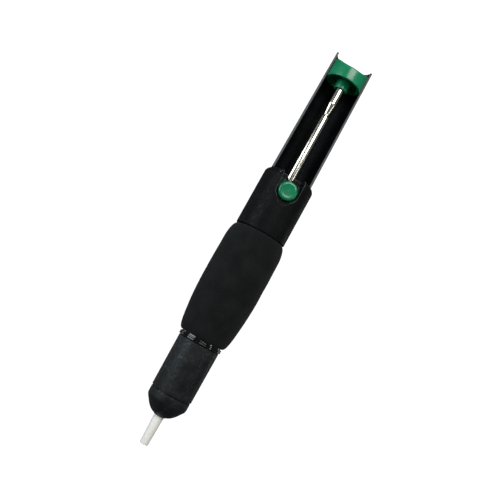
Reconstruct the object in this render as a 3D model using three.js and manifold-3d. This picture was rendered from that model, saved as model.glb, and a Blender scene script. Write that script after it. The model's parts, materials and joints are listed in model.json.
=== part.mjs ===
// A hand-held desoldering pump: a spring-driven piston in a tube, cocked by a plunger knob at the
// back and released by a button, which draws molten solder in through a nozzle at the front.
// Millimetres, +Z up. The pump lies along X with its nozzle at -X and its release button on top.
import * as THREE from "three";
import { mergeVertices } from "three/addons/utils/BufferGeometryUtils.js";
import Module from "manifold-3d";

const wasm = await Module();
wasm.setup();

// Driving dimensions. Stations along the pump are measured from the nozzle's open end.
const overallLength = 206.1;
const gripRadius = 14.5;
const staticGap = 0.1;
const sides = 32;
const fineSides = 16;
const quarterTurn = Math.PI / 2;

const nozzle = { nose: 14.1, shoulder: 17.3, end: 23.1 };
const nozzleRadii = { tip: 2.05, nose: 2.45, foot: 3.5, bore: 1.2 };
const nose = { front: 14.3, end: 25, radius: 9.85, lipRadius: 2.9, spigotEnd: 33, boreRadius: 7.3 };
// Stations and radii of the nose's dome, from its lip to where it runs straight.
const noseDome = [
  [14.6, 3.3], [15.2, 4.6], [16, 5.75], [17.5, 7.2], [19, 8.3], [20.1, 9.1], [20.9, 9.6], [21.8, 9.85],
];
const seat = { front: 23.5, back: 24.7, radius: 7.1, holeRadius: 2.2 };
const barrel = { front: 25.6, back: 51.2, frontRadius: 10.05, backRadius: 10.25, boreRadius: 8.9 };
const tube = { front: 43.5, back: 122.4, radius: 10, boreRadius: 7.4, spigotRadius: 8.8 };
const flange = { front: 51.5, back: 53.1, radius: 10.7 };
const foam = { front: 53.8, back: 109.2, boreRadius: 10.15 };
const housing = { front: 109.5, radius: 12.7, shoulder: 137.4, back: 141, innerWall: 137.6 };
const guard = { front: 123.7, collarEnd: 125.2, radius: 10.8, backRadius: 10.15, wall: 1, edgeHeight: 0.5 };
const bush = { front: 114.1, flangeFront: 122.5, flangeBack: 123.5 };
const bumper = { front: 111.5, back: 113.9, holeRadius: 4.7 };
const piston = { boss: 98.9, front: 102, back: 111.2, radius: 7.25, bossRadius: 5.2, rodSeat: 104.5 };
const tubeSeal = { section: 0.4, radius: 8.37, grooveRadius: 7.95, grooveHalf: 0.65 };
const noseSealStation = 29.05;
const barrelSealStation = 47.05;
const pistonSeal = { station: 106.65, section: 0.78, radius: 6.5, grooveRadius: 5.6, grooveHalf: 0.95 };
const pin = { front: 44.5, back: 104.2, radius: 0.75 };
const rod = { front: 104.7, notch: 175, coneEnd: 181.9, back: 197.4, radius: 2.2, neckRadius: 1.45 };
const nut = { front: 111.4, back: 113.4, acrossFlats: 7 };
const knob = { hub: 190.3, rim: 193.5, floor: 197.9, radius: 9.1, hubRadius: 3.3, wall: 1.3 };
const scoop = { dip: 199.9, rise: 3.1, power: 3.2 };
const button = { station: 131.9, radius: 4.55, top: 12, travel: 1.5 };
const latch = { front: 127.5, back: 137.4, bottom: -4.4, step: 5.2, top: 6.6 };
const latchHalfWidth = { neck: 5.35, base: 6.8 };
const tooth = { front: 130.3, back: 131.5 };
const cutOut = { radius: 5.65, dishRadius: 8, dishDepth: 1.3 };
const mainSpring = { front: 24.9, back: 101.8, radius: 6.3, wire: 1, turns: 14, stepsPerTurn: 12 };
const buttonSpring = { bottom: -9.2, top: -3.7, radius: 1.9, wire: 0.45, turns: 4, stepsPerTurn: 10 };

// ---- shape helpers ----

// A solid of revolution about X from its outline of [station, radius] points, closed on itself.
function turned(outline, count = sides) {
  const area = outline.reduce((sum, [x, r], i) => {
    const [nextX, nextR] = outline[(i + 1) % outline.length];
    return sum + x * nextR - nextX * r;
  }, 0);
  const ordered = area > 0 ? [...outline].reverse() : outline;
  const points = [...ordered, ordered[0]].map(([x, r]) => new THREE.Vector2(r, x));
  return new THREE.LatheGeometry(points, count).rotateZ(-quarterTurn);
}

// A plain tube about X; with no inner radius it is a solid rod.
function sleeve(front, back, outer, inner = 0, count = sides) {
  return turned([[front, inner], [front, outer], [back, outer], [back, inner]], count);
}

// An O-ring about X.
function sealRing(station, { radius, section }) {
  const sectionSides = 8;
  const outline = Array.from({ length: sectionSides }, (_, i) => {
    const angle = (2 * Math.PI * i) / sectionSides;
    return [station + section * Math.cos(angle), radius + section * Math.sin(angle)];
  });
  return turned(outline);
}

// The four corners of a seal's groove in a surface of the given radius.
function groove(station, { grooveHalf, grooveRadius }, surfaceRadius) {
  return [
    [station - grooveHalf, surfaceRadius],
    [station - grooveHalf, grooveRadius],
    [station + grooveHalf, grooveRadius],
    [station + grooveHalf, surfaceRadius],
  ];
}

function block(x0, x1, y0, y1, z0, z1) {
  const centre = [(x0 + x1) / 2, (y0 + y1) / 2, (z0 + z1) / 2];
  return new THREE.BoxGeometry(x1 - x0, y1 - y0, z1 - z0).translate(...centre);
}

// A prism whose section is drawn in the YZ plane, from one station to another.
function prismAlongX(shape, front, back) {
  const settings = { depth: back - front, bevelEnabled: false, curveSegments: 8 };
  const prism = new THREE.ExtrudeGeometry(shape, settings);
  return prism.rotateX(quarterTurn).rotateZ(quarterTurn).translate(front, 0, 0);
}

// A slot's outline: two half circles of one radius, joined by straight sides, standing upright.
function uprightSlot(radius, lowCentre, highCentre) {
  const shape = new THREE.Shape();
  shape.absarc(0, highCentre, radius, 0, Math.PI, false);
  shape.absarc(0, lowCentre, radius, Math.PI, 2 * Math.PI, false);
  shape.closePath();
  return shape;
}

class CoilCurve extends THREE.Curve {
  constructor(coil) {
    super();
    this.coil = coil;
  }

  getPoint(t, target = new THREE.Vector3()) {
    const { length, radius, wire, turns } = this.coil;
    const angle = 2 * Math.PI * turns * t;
    const rise = wire / 2 + (length - wire) * coilRise(t, this.coil);
    return target.set(rise, radius * Math.cos(angle), radius * Math.sin(angle));
  }
}

// The share of a coil's length climbed after a share t of its turns: its end turns lie close together.
function coilRise(t, { length, wire, turns }) {
  const endTurn = 1 / turns;
  const endRise = (1.15 * wire) / (length - wire);
  if (t < endTurn) return (endRise * t) / endTurn;
  if (t > 1 - endTurn) return 1 - (endRise * (1 - t)) / endTurn;
  return endRise + ((1 - 2 * endRise) * (t - endTurn)) / (1 - 2 * endTurn);
}

// A compression spring that starts at the origin and runs along +X.
function spring({ length, radius, wire, turns, stepsPerTurn }) {
  const corners = Array.from({ length: 6 }, (_, i) => {
    const angle = (Math.PI * i) / 3;
    return new THREE.Vector2((wire / 2) * Math.cos(angle), (wire / 2) * Math.sin(angle));
  });
  const section = new THREE.Shape(corners);
  const extrudePath = new CoilCurve({ length, radius, wire, turns });
  return new THREE.ExtrudeGeometry(section, { steps: turns * stepsPerTurn, extrudePath });
}

// ---- joining and cutting ----

function toSolid(geometry) {
  const bare = geometry.clone();
  bare.deleteAttribute("normal");
  bare.deleteAttribute("uv");
  const merged = mergeVertices(bare, 1e-4);
  const vertProperties = merged.attributes.position.array;
  const triVerts = new Uint32Array(merged.index.array);
  return new wasm.Manifold(new wasm.Mesh({ numProp: 3, vertProperties, triVerts }));
}

function toGeometry(solid) {
  const { vertProperties, triVerts } = solid.getMesh();
  const geometry = new THREE.BufferGeometry();
  geometry.setAttribute("position", new THREE.BufferAttribute(vertProperties, 3));
  geometry.setIndex(new THREE.BufferAttribute(triVerts, 1));
  geometry.computeVertexNormals();
  return geometry;
}

function join(first, ...others) {
  return toGeometry(others.reduce((sum, other) => sum.add(toSolid(other)), toSolid(first)));
}

function cut(base, ...tools) {
  return toGeometry(tools.reduce((left, tool) => left.subtract(toSolid(tool)), toSolid(base)));
}

// ---- materials ----

function finish(color, roughness, metalness = 0) {
  return new THREE.MeshStandardMaterial({ color, roughness, metalness });
}

const finishes = {
  tipPlastic: () => finish(0xd4d1c9, 0.5),
  matteBlack: () => finish(0x24282b, 0.7),
  glossBlack: () => finish(0x0f1012, 0.15),
  foamBlack: () => finish(0x181b1b, 0.95),
  green: () => finish(0x1f6e4c, 0.3),
  chrome: () => finish(0xdcdcda, 0.1, 1),
  springSteel: () => finish(0xa9abad, 0.35, 1),
  rubber: () => finish(0x17181a, 0.8),
  innerPlastic: () => finish(0xe4e2da, 0.5),
};

const parts = [];

function add(name, geometry, material) {
  const mesh = new THREE.Mesh(geometry, material());
  mesh.name = name;
  parts.push(mesh);
  return mesh;
}

// ---- front end: nozzle, nose cap and front barrel ----

function nozzleTip() {
  const { nose: exposed, shoulder, end } = nozzle;
  const radii = nozzleRadii;
  const chamfer = 0.2;
  return turned([
    [0, radii.bore],
    [0, radii.tip - chamfer],
    [chamfer, radii.tip],
    [exposed, radii.nose],
    [shoulder, radii.nose],
    [shoulder, radii.foot],
    [end, radii.foot],
    [end, radii.bore],
  ], 24);
}

function noseCap() {
  const holeRadius = nozzleRadii.nose + 0.15;
  const seatPocket = seat.front - 0.2;
  const footPocketRadius = nozzleRadii.foot + 0.15;
  const holeFront = nozzle.shoulder - 0.15;
  const spigotRadius = barrel.boreRadius - staticGap;
  const stepRadius = nose.radius - 0.8;
  return turned([
    [nose.front, holeRadius],
    [nose.front, nose.lipRadius],
    ...noseDome,
    [nose.end, nose.radius],
    [nose.end, stepRadius],
    [nose.end + 0.5, stepRadius],
    [nose.end + 0.5, spigotRadius],
    ...groove(noseSealStation, tubeSeal, spigotRadius),
    [nose.spigotEnd, spigotRadius],
    [nose.spigotEnd, nose.boreRadius],
    [seatPocket, nose.boreRadius],
    [seatPocket, footPocketRadius],
    [holeFront, footPocketRadius],
    [holeFront, holeRadius],
  ]);
}

function springSeat() {
  return sleeve(seat.front, seat.back, seat.radius, seat.holeRadius);
}

function frontBarrel() {
  const chamfer = 0.4;
  return turned([
    [barrel.front, barrel.boreRadius],
    [barrel.front, barrel.frontRadius - chamfer],
    [barrel.front + chamfer, barrel.frontRadius],
    [barrel.back - chamfer, barrel.backRadius],
    [barrel.back, barrel.backRadius - chamfer],
    [barrel.back, barrel.boreRadius],
  ]);
}

// ---- main tube and grip ----

function mainTube() {
  const chamfer = 0.3;
  return turned([
    [tube.front, tube.boreRadius],
    [tube.front, tube.spigotRadius - chamfer],
    [tube.front + chamfer, tube.spigotRadius],
    ...groove(barrelSealStation, tubeSeal, tube.spigotRadius),
    [flange.front, tube.spigotRadius],
    [flange.front, flange.radius],
    [flange.back, flange.radius],
    [flange.back, tube.radius],
    [tube.back, tube.radius],
    [tube.back, tube.boreRadius],
  ]);
}

function foamGrip() {
  const bulge = new THREE.SplineCurve([
    new THREE.Vector2(foam.front, 10.85),
    new THREE.Vector2(54.9, 11.75),
    new THREE.Vector2(58, 12.6),
    new THREE.Vector2(66, 13.65),
    new THREE.Vector2(78, gripRadius),
    new THREE.Vector2(96, gripRadius),
    new THREE.Vector2(103, 14.3),
    new THREE.Vector2(107.4, 13.4),
    new THREE.Vector2(foam.back, 12.2),
  ]);
  return turned([
    [foam.front, foam.boreRadius],
    ...bulge.getPoints(16).map(({ x, y }) => [x, Math.min(y, gripRadius)]),
    [foam.back, foam.boreRadius],
  ]);
}

// ---- rear housing and guard ----

// The housing before its cut-outs: a sleeve over the tube with a thick domed rear wall.
function housingShell() {
  const rimRadius = housing.radius - 0.4;
  const tubeRecess = tube.back + 0.15;
  const domeRise = housing.back - housing.shoulder;
  const domeFoot = 7.3;
  const dome = Array.from({ length: 6 }, (_, i) => {
    const angle = (quarterTurn * (i + 1)) / 6;
    const height = (housing.radius - domeFoot) * Math.cos(angle);
    return [housing.shoulder + domeRise * Math.sin(angle), domeFoot + height];
  });
  return turned([
    [housing.front, tube.radius + staticGap],
    [housing.front, rimRadius],
    [housing.front + 0.6, housing.radius],
    [housing.shoulder, housing.radius],
    ...dome,
    [housing.back, 2],
    [housing.innerWall, 2],
    [housing.innerWall, guard.radius + staticGap],
    [tubeRecess, guard.radius + staticGap],
    [tubeRecess, tube.radius + staticGap],
  ]);
}

// The opening round the button, straight at its sides and round at its front, as seen from above.
function cutOutTool() {
  const { station } = button;
  const outline = new THREE.Shape();
  outline.absarc(station, 0, cutOut.radius, quarterTurn, 3 * quarterTurn, false);
  outline.lineTo(housing.back + 1, -cutOut.radius);
  outline.lineTo(housing.back + 1, cutOut.radius);
  outline.closePath();
  const settings = { depth: housing.radius + 1, bevelEnabled: false, curveSegments: 10 };
  return new THREE.ExtrudeGeometry(outline, settings);
}

// A shallow cone that dishes the housing round the button for the thumb.
function dishTool() {
  const top = housing.radius + 0.4;
  const points = [
    new THREE.Vector2(0, top - cutOut.dishDepth),
    new THREE.Vector2(cutOut.radius - 0.6, top - cutOut.dishDepth),
    new THREE.Vector2(cutOut.dishRadius, top),
    new THREE.Vector2(0, top),
  ];
  return new THREE.LatheGeometry(points, 24).rotateX(quarterTurn).translate(button.station, 0, 0);
}

function rearHousing() {
  const guardSlotRadius = guard.radius + 0.15;
  const guardSlot = sleeve(housing.innerWall - 0.5, housing.back + 1, guardSlotRadius);
  const wide = 2 * gripRadius;
  const edgeLevel = guard.edgeHeight + 0.3;
  const aboveGuard = block(120, housing.back + 2, -wide, wide, edgeLevel, wide);
  return cut(housingShell(), cut(guardSlot, aboveGuard), cutOutTool(), dishTool());
}

// A half tube open towards the button, with a whole collar at its front, held inside the housing.
function guardTube() {
  const whole = turned([
    [guard.front, guard.radius - guard.wall],
    [guard.front, guard.radius],
    [housing.back, guard.radius],
    [overallLength, guard.backRadius],
    [overallLength, guard.backRadius - guard.wall + 0.1],
    [housing.back, guard.radius - guard.wall],
  ]);
  const wide = 2 * guard.radius;
  return cut(whole, block(guard.collarEnd, overallLength + 1, -wide, wide, guard.edgeHeight, wide));
}

function rearBush() {
  const holeRadius = rod.radius + 0.15;
  const bodyRadius = tube.boreRadius - staticGap;
  const flangeRadius = tube.radius - staticGap;
  return turned([
    [bush.front, holeRadius],
    [bush.front, bodyRadius],
    [bush.flangeFront, bodyRadius],
    [bush.flangeFront, flangeRadius],
    [bush.flangeBack, flangeRadius],
    [bush.flangeBack, holeRadius],
  ]);
}

function bumperWasher() {
  return sleeve(bumper.front, bumper.back, tube.boreRadius - staticGap, bumper.holeRadius);
}

// ---- piston and plunger ----

function pistonBody() {
  const chamfer = 0.5;
  return turned([
    [piston.boss, pin.radius + staticGap],
    [piston.boss, piston.bossRadius - chamfer],
    [piston.boss + chamfer, piston.bossRadius],
    [piston.front, piston.bossRadius],
    [piston.front, piston.radius],
    ...groove(pistonSeal.station, pistonSeal, piston.radius),
    [piston.back, piston.radius],
    [piston.back, rod.radius + staticGap],
    [piston.rodSeat, rod.radius + staticGap],
    [piston.rodSeat, pin.radius + staticGap],
  ]);
}

function cleaningPin() {
  const taper = 1.5;
  return turned([
    [pin.front, 0],
    [pin.front, pin.radius / 2],
    [pin.front + taper, pin.radius],
    [pin.back, pin.radius],
    [pin.back, 0],
  ], 12);
}

// The rod has a turned notch: a square shoulder that the latch catches, then a cone back to full size.
function plungerRod() {
  const neckLength = 1.5;
  const tipChamfer = 0.4;
  return turned([
    [rod.front, 0],
    [rod.front, rod.radius - tipChamfer],
    [rod.front + tipChamfer, rod.radius],
    [rod.notch, rod.radius],
    [rod.notch, rod.neckRadius],
    [rod.notch + neckLength, rod.neckRadius],
    [rod.coneEnd, rod.radius],
    [rod.back, rod.radius],
    [rod.back, 0],
  ], fineSides);
}

function pistonNut() {
  const cornerRadius = nut.acrossFlats / 2 / Math.cos(Math.PI / 6);
  const hexagon = sleeve(nut.front, nut.back, cornerRadius, 0, 6);
  return cut(hexagon, sleeve(nut.front - 1, nut.back + 1, rod.radius + staticGap, 0, fineSides));
}

// A cup with a hub for the rod, and a thumb scoop that runs from front to back across its end.
function plungerKnob() {
  const crown = scoop.dip + 5;
  const rimRound = 0.5;
  const bodyOfCup = turned([
    [knob.hub, rod.radius + staticGap],
    [knob.hub, knob.hubRadius - 0.3],
    [knob.hub + 0.3, knob.hubRadius],
    [knob.floor, knob.hubRadius],
    [knob.floor, knob.radius - knob.wall],
    [knob.rim, knob.radius - knob.wall],
    [knob.rim, knob.radius - rimRound],
    [knob.rim + rimRound, knob.radius],
    [crown, knob.radius],
    [crown, 0],
    [rod.back + 0.2, 0],
    [rod.back + 0.2, rod.radius + staticGap],
  ]);
  return cut(bodyOfCup, scoopTool());
}

// The scoop is nearly flat in the middle and turns up steeply to a horn at each side.
function scoopTool() {
  const reach = knob.radius + 0.5;
  const steps = 24;
  const outline = new THREE.Shape();
  outline.moveTo(scoop.dip + 10, reach);
  outline.lineTo(scoop.dip + 10, -reach);
  for (let i = 0; i <= steps; i += 1) {
    const side = reach * ((2 * i) / steps - 1);
    outline.lineTo(scoop.dip + scoop.rise * Math.abs(side / knob.radius) ** scoop.power, side);
  }
  outline.closePath();
  const depth = 3 * knob.radius;
  return new THREE.ExtrudeGeometry(outline, { depth, bevelEnabled: false }).translate(0, 0, -depth / 2);
}

// ---- release button ----

// The button stands on a latch block; the rod passes through the block, and a tooth in its passage
// springs up into the rod's notch.
function releaseButton() {
  const { station, radius, top } = button;
  const bevel = 0.5;
  const sunk = 1;
  const cap = [
    new THREE.Vector2(0, latch.top - sunk),
    new THREE.Vector2(radius, latch.top - sunk),
    new THREE.Vector2(radius, top - bevel),
    new THREE.Vector2(radius - bevel, top),
    new THREE.Vector2(0, top),
  ];
  const capSolid = new THREE.LatheGeometry(cap, 24).rotateX(quarterTurn).translate(station, 0, 0);
  const { neck: neckWidth, base: baseWidth } = latchHalfWidth;
  const neck = block(latch.front, latch.back, -neckWidth, neckWidth, 0, latch.top);
  const base = block(latch.front, latch.back - 0.1, -baseWidth, baseWidth, latch.bottom, latch.step);
  const widePassage = uprightSlot(2.8, -0.4, 1.8);
  const toothPassage = uprightSlot(rod.radius + 0.2, 0, button.travel + 0.2);
  const springPocket = new THREE.CylinderGeometry(2.4, 2.4, 2, 16).rotateX(quarterTurn);
  springPocket.translate(station, 0, buttonSpring.top - 0.9);
  return cut(
    join(neck, base, capSolid),
    prismAlongX(widePassage, latch.front - 1, tooth.front),
    prismAlongX(widePassage, tooth.back, latch.back + 1),
    prismAlongX(toothPassage, latch.front - 1, latch.back + 1),
    springPocket,
  );
}

function buttonReturnSpring() {
  const { bottom, top, ...coil } = buttonSpring;
  const standing = spring({ ...coil, length: top - bottom }).rotateY(-quarterTurn);
  return standing.translate(button.station, 0, bottom);
}

function pistonSpring() {
  const { front, back, ...coil } = mainSpring;
  return spring({ ...coil, length: back - front }).translate(front, 0, 0);
}

// ---- assembly ----

add("nozzle_tip", nozzleTip(), finishes.tipPlastic);
add("nose_cap", noseCap(), finishes.matteBlack);
add("nose_o_ring", sealRing(noseSealStation, tubeSeal), finishes.rubber);
add("spring_seat", springSeat(), finishes.springSteel);
add("front_barrel", frontBarrel(), finishes.matteBlack);
add("barrel_o_ring", sealRing(barrelSealStation, tubeSeal), finishes.rubber);
add("main_tube", mainTube(), finishes.glossBlack);
add("foam_grip", foamGrip(), finishes.foamBlack);
add("rear_housing", rearHousing(), finishes.matteBlack);
add("guard", guardTube(), finishes.glossBlack);
add("rear_bush", rearBush(), finishes.innerPlastic);
add("bumper_washer", bumperWasher(), finishes.rubber);
add("main_spring", pistonSpring(), finishes.springSteel);
add("piston", pistonBody(), finishes.innerPlastic);
add("piston_o_ring", sealRing(pistonSeal.station, pistonSeal), finishes.rubber);
add("piston_nut", pistonNut(), finishes.springSteel);
add("cleaning_pin", cleaningPin(), finishes.springSteel);
add("plunger_rod", plungerRod(), finishes.chrome);
add("plunger_knob", plungerKnob(), finishes.green);
add("release_button", releaseButton(), finishes.green);
add("button_spring", buttonReturnSpring(), finishes.springSteel);

// The origin is under the middle of the pump, on the surface that it lies on.
const pump = new THREE.Group();
pump.position.set(-overallLength / 2, 0, gripRadius);
pump.add(...parts);

const assembly = new THREE.Group();
assembly.add(pump);

export default assembly;
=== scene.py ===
import json
import math

import bmesh
import bpy
from mathutils import Matrix, Vector, noise


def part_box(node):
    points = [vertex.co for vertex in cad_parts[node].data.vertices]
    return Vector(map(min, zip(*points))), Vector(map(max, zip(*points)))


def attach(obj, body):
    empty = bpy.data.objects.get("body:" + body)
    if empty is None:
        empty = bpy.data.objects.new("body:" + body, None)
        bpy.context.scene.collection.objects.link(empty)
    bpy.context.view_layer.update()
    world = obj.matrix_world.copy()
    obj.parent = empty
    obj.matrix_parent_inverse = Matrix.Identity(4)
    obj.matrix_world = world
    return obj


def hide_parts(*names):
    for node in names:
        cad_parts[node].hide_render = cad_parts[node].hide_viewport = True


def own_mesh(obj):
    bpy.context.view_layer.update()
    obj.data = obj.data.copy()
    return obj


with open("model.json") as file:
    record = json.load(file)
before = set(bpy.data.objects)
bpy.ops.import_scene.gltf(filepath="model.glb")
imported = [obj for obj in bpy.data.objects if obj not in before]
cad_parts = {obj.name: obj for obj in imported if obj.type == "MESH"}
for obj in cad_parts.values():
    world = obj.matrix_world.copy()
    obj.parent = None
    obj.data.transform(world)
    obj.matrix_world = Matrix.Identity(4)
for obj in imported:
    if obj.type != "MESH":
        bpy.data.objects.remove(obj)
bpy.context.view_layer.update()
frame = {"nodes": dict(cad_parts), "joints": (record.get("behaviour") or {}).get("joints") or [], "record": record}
print("frame loaded")

# Stations run along the pump from the nozzle's open end. Sizes are in millimetres.
mm = 0.001
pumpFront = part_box("nozzle_tip")[0].x
axisHeight = sum(corner.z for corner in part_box("foam_grip")) / 2
fullTurn = 2 * math.pi


def at(station, side=0, height=0):
    return Vector((pumpFront + station * mm, side * mm, axisHeight + height * mm))


boxes = {node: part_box(node) for node in frame["nodes"]}


def span(node):
    low, high = boxes[node]
    return (low.x - pumpFront) / mm, (high.x - pumpFront) / mm


def halfWidth(node):
    low, high = boxes[node]
    return (high.y - low.y) / 2 / mm


# A wire is a node's output. Maths written on wires adds the Math nodes.
class Wire:
    def __init__(self, tree, socket):
        self.tree = tree
        self.socket = socket

    def maths(self, operation, *values):
        made = self.tree.nodes.new("ShaderNodeMath")
        made.operation = operation
        for socket, value in zip(made.inputs, values):
            plugIn(self.tree, socket, value)
        return Wire(self.tree, made.outputs[0])

    def __add__(self, other):
        return self.maths("ADD", self, other)

    def __radd__(self, other):
        return self.maths("ADD", other, self)

    def __sub__(self, other):
        return self.maths("SUBTRACT", self, other)

    def __rsub__(self, other):
        return self.maths("SUBTRACT", other, self)

    def __mul__(self, other):
        return self.maths("MULTIPLY", self, other)

    def __rmul__(self, other):
        return self.maths("MULTIPLY", other, self)


def plugIn(tree, socket, value):
    if isinstance(value, Wire):
        tree.links.new(value.socket, socket)
    elif isinstance(value, tuple) and len(value) == 3 and len(socket.default_value) == 4:
        socket.default_value = (*value, 1)
    else:
        socket.default_value = value


def socketNamed(sockets, name):
    return next(socket for socket in sockets if name in (socket.identifier, socket.name))


class Finish:
    def __init__(self, name):
        self.material = bpy.data.materials.new(name)
        self.material.use_nodes = True
        self.tree = self.material.node_tree
        self.tree.nodes.clear()
        metres = self.node("TexCoord", {}, {}, "Object")
        scaled = {"Vector": metres, "Scale": 1 / mm}
        self.place = self.node("VectorMath", {"operation": "SCALE"}, scaled, "Vector")

    # Adds any node: its type, its settings first, then the values or wires of its sockets.
    def node(self, kind, settings, sockets, output):
        made = self.tree.nodes.new("ShaderNode" + kind)
        for name, value in settings.items():
            setattr(made, name, value)
        for name, value in sockets.items():
            plugIn(self.tree, socketNamed(made.inputs, name), value)
        return Wire(self.tree, socketNamed(made.outputs, output)) if output else made

    def stretched(self, stretch):
        return self.node("Mapping", {}, {"Vector": self.place, "Scale": stretch}, "Vector")

    # Noise with lumps about size millimetres across.
    def lumps(self, size, detail=2, stretch=(1, 1, 1)):
        sockets = {"Vector": self.stretched(stretch), "Scale": 1 / size, "Detail": detail}
        return self.node("TexNoise", {}, sockets, "Fac")

    # Cells about size millimetres across: 0 in a cell's middle, rising to its edge.
    def cells(self, size):
        sockets = {"Vector": self.place, "Scale": 1 / size}
        return self.node("TexVoronoi", {"feature": "F1"}, sockets, "Distance")

    # How far along, to the side or up the pump, in millimetres, with axis X, Y or Z.
    def placeAlong(self, axis):
        return self.node("SeparateXYZ", {}, {"Vector": self.place}, axis)

    def between(self, value, low, high):
        settings = {"interpolation_type": "SMOOTHSTEP"}
        return self.node("MapRange", settings, {"Value": value, "From Min": low, "From Max": high}, "Result")

    def mix(self, factor, first, second):
        sockets = {"Factor_Float": factor, "A_Color": first, "B_Color": second}
        return self.node("Mix", {"data_type": "RGBA"}, sockets, "Result_Color")

    def bump(self, height, depth, onto=None):
        sockets = {"Height": height, "Distance": depth * mm, "Strength": 1.0}
        if onto:
            sockets["Normal"] = onto
        return self.node("Bump", {}, sockets, "Normal")

    # Rises from 0 to 1 on edges, as they get sharper from low to high. The edges it marks are painted paler:
    # partly wear, partly painted highlight.
    def wornAndLitEdges(self, low, high):
        return self.between(self.node("NewGeometry", {}, {}, "Pointiness"), low, high)

    # 1 on the guard and beside the housing's cut-out, whose edges are painted paler, partly as wear and partly as
    # painted highlight, and 0 elsewhere.
    def paleEdgeZone(self):
        side = self.placeAlong("Y")
        besideCut = self.between(side.maths("ABSOLUTE", side), 8.2, 7.2)
        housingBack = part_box("rear_housing")[1].x / mm
        onGuard = self.between(self.placeAlong("X"), housingBack - 0.3, housingBack + 0.2)
        return onGuard.maths("MAXIMUM", onGuard, besideCut)

    # 1 at the release button, 0 at the knob.
    def nearButton(self):
        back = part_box("release_button")[1].x / mm
        return self.between(self.placeAlong("X"), back + 6, back + 1)

    # 1 below the button's cap, where painted shade darkens the latch block.
    def underCapShade(self):
        return self.between(self.placeAlong("Z"), axisHeight / mm + 8.2, axisHeight / mm + 7.2)

    def shade(self, **sockets):
        words = {name.replace("_", " "): value for name, value in sockets.items()}
        shader = self.node("BsdfPrincipled", {}, words, "BSDF")
        self.node("OutputMaterial", {}, {"Surface": shader}, None)
        return self.material


# Moulded black with a spark-eroded texture: fine grain, paler flecks and larger cloudy patches.
# Its edges are painted paler: partly rubbed wear, partly a painted highlight.
def grainedBlack(name, look):
    f = Finish(name)
    grain = look["grain"]
    fine = f.lumps(grain, detail=3)
    pits = f.cells(grain * 2.2)
    flecks = f.between(f.lumps(grain * 4, detail=4), 0.49, 0.63)
    clouds = f.between(f.lumps(6, detail=5), 0.35, 0.7)
    colour = f.mix(clouds * 0.35 + flecks * (0.25 + 0.5 * clouds), look["dark"], look["light"])
    edges = f.wornAndLitEdges(look["edgeFrom"], look["edgeTo"])
    if look["paleEdgeZone"]:
        edges = edges * f.paleEdgeZone()
    # Painted highlight mixed with wear: sharp edges get a paler colour.
    colour = f.mix(edges * look["edgeWearAndHighlight"], colour, look["edge"])
    height = fine * 0.5 + pits * 0.35 + flecks * 0.45
    rolling = f.bump(f.lumps(2.6, detail=3), look["rolling"])
    return f.shade(
        Base_Color=colour,
        Roughness=look["roughness"] + 0.12 * clouds - 0.16 * flecks,
        Normal=f.bump(height, look["depth"], rolling),
        Specular_IOR_Level=look["gloss"],
    )


mouldedTexture = {
    "grain": 0.34,
    "dark": (0.0024, 0.0029, 0.0035),
    "light": (0.0155, 0.0178, 0.0208),
    "edge": (0.045, 0.048, 0.05),
    "edgeFrom": 0.52,
    "edgeTo": 0.57,
    "edgeWearAndHighlight": 0.5,
    "paleEdgeZone": False,
    "depth": 0.07,
    "rolling": 0.1,
    "roughness": 0.48,
    "gloss": 0.27,
}
smoothMoulding = {
    "grain": 0.24,
    "dark": (0.0028, 0.003, 0.0034),
    "light": (0.0072, 0.0078, 0.0088),
    "edge": (0.12, 0.124, 0.13),
    "edgeFrom": 0.515,
    "edgeTo": 0.56,
    "edgeWearAndHighlight": 0.85,
    "paleEdgeZone": True,
    "depth": 0.018,
    "rolling": 0.05,
    "roughness": 0.5,
    "gloss": 0.07,
}


def polishedBlack():
    f = Finish("glossBlack")
    smudges = f.lumps(6, detail=5, stretch=(0.4, 1, 1))
    hairlines = f.lumps(0.35, detail=2, stretch=(0.02, 1, 1))
    dust = f.between(f.lumps(0.22, detail=2), 0.7, 0.78)
    colour = f.mix(dust * 0.5, (0.003, 0.003, 0.0035), (0.02, 0.02, 0.02))
    flow = f.bump(f.lumps(14, detail=1, stretch=(0.3, 1, 1)), 0.015)
    return f.shade(
        Base_Color=colour,
        Roughness=0.07 + 0.09 * f.between(smudges, 0.45, 0.75) + 0.1 * dust,
        Normal=f.bump(hairlines, 0.0012, flow),
        Specular_IOR_Level=0.62,
    )


def gripFoam():
    f = Finish("gripFoam")
    bubbles = f.cells(0.55)
    small = f.cells(0.22)
    patches = f.lumps(7, detail=4)
    colour = f.mix(f.between(patches, 0.3, 0.72), (0.0055, 0.0063, 0.0062), (0.0095, 0.0108, 0.0105))
    # Painted shade: the pit in the middle of each foam cell is darker.
    colour = f.mix(f.between(bubbles, 0.0, 0.35), (0.003, 0.0034, 0.0034), colour)
    coarse = f.bump(f.lumps(2.2, detail=3), 0.12)
    cellwork = f.bump(f.between(bubbles, 0, 0.55), 0.09, coarse)
    return f.shade(
        Base_Color=colour,
        Roughness=0.86 + 0.1 * small,
        Normal=f.bump(f.between(small, 0, 0.5), 0.03, cellwork),
        Sheen_Weight=0.04,
        Sheen_Roughness=0.5,
        Specular_IOR_Level=0.12,
    )


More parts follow.
